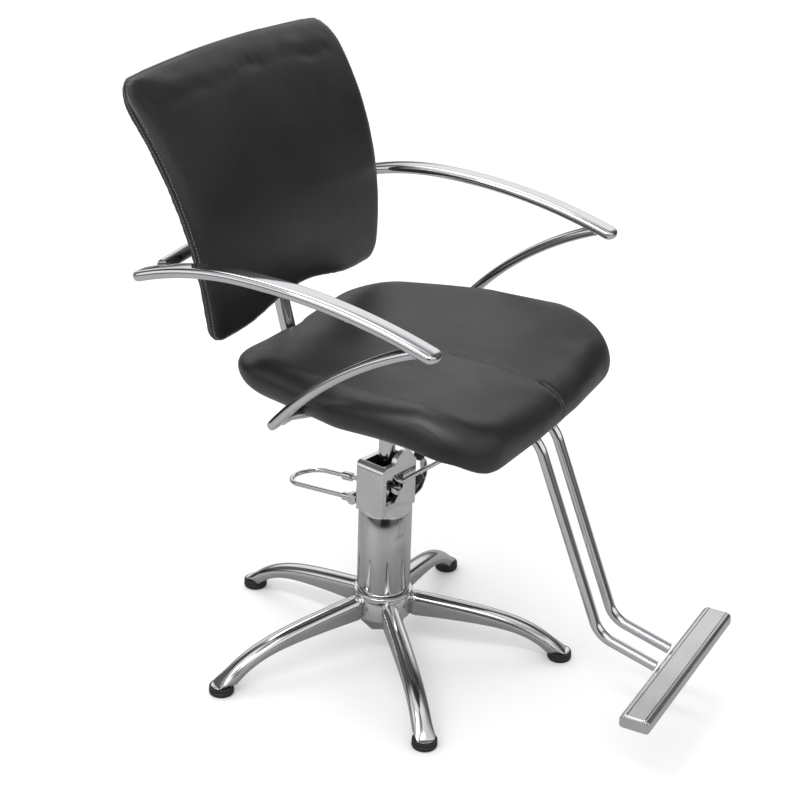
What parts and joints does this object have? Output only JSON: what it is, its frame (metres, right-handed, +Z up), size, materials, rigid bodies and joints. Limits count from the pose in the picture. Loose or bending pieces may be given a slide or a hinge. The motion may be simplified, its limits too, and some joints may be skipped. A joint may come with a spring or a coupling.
{
  "type": "styling chair",
  "caption": "Salon styling chair with padded seat and back, tubular arms, footrest, foot-pumped hydraulic column and star base.",
  "frame": {"origin": "on the floor, on the vertical axis of the hydraulic column", "axes": "+Z up along the column axis; -Y the way the sitter faces; +X to the sitter's left"},
  "size_m": [0.6638, 0.8561, 0.985],
  "materials": {
    "cast_aluminium": "polished casting",
    "chrome": "bright chrome plate",
    "satin_chrome": "satin chrome plate",
    "steel": "machined steel",
    "bronze": "bearing bronze",
    "black_rubber": "black rubber",
    "black_plastic": "black plastic",
    "upholstery": "smooth black leather over foam",
    "plywood": "birch plywood"
  },
  "bodies": {
    "base": {"star_base": "cast_aluminium", "base_glides": "black_rubber", "column_tube": "chrome", "column_foot": "steel", "base_washer": "steel", "base_nut": "steel", "oil_cylinder": "steel", "rod_guide": "bronze", "rod_seal": "black_rubber", "pump_head": "cast_aluminium", "plunger_gland": "bronze", "brake_shoe": "bronze", "release_bush": "bronze"},
    "ram": {"piston": "steel", "piston_seal": "black_rubber"},
    "seat": {"piston_rod": "chrome", "seat_socket": "steel", "seat_plate": "steel", "seat_pan": "plywood", "seat_bolts": "steel", "seat_cushion": "upholstery", "tube_saddles": "steel", "spine_tube": "chrome", "back_plate": "steel", "back_screws": "steel", "back_board": "upholstery", "back_cushion": "upholstery", "arm_right": "chrome", "arm_left": "chrome", "strut_right": "chrome", "strut_left": "chrome", "upper_crossbar": "chrome", "lower_crossbar": "chrome", "footrest_tubes": "chrome", "footplate": "satin_chrome", "footplate_caps": "black_plastic"},
    "pedal": {"pedal_shaft": "steel", "pedal_loop": "chrome", "pedal_collars": "chrome"},
    "plunger": {"pump_plunger": "steel"},
    "brake": {"brake_lever": "chrome", "brake_knob": "black_plastic"},
    "release": {"release_lever": "chrome", "release_knob": "black_plastic"}
  },
  "joints": [
    {"name": "ram_lift", "type": "slide", "parent": "base", "child": "ram", "axis": [0, 0, 1], "range_m": [-0.02, 0.12]},
    {"name": "seat_swivel", "type": "hinge", "parent": "ram", "child": "seat", "pos_m": [0, 0, 0.3], "axis": [0, 0, 1], "continuous": true},
    {"name": "foot_pedal", "type": "hinge", "parent": "base", "child": "pedal", "pos_m": [0.00859, 0.03907, 0.278], "axis": [-0.9767, 0.2147, 0], "range_deg": [0, 16]},
    {"name": "plunger_stroke", "type": "slide", "parent": "base", "child": "plunger", "axis": [0, 0, 1], "range_m": [0, 0.00736]},
    {"name": "brake_swing", "type": "hinge", "parent": "base", "child": "brake", "pos_m": [-0.01847, -0.0328, 0.309], "axis": [0.2147, 0.9767, 0], "range_deg": [-25, 0]},
    {"name": "release_swing", "type": "hinge", "parent": "base", "child": "release", "pos_m": [0.03856, -0.02486, 0.3], "axis": [-0.9767, 0.2147, 0], "range_deg": [0, 14]}
  ],
  "couplings": [
    {"joint": "plunger_stroke", "follows": "foot_pedal", "m_per_rad": 0.026}
  ]
}
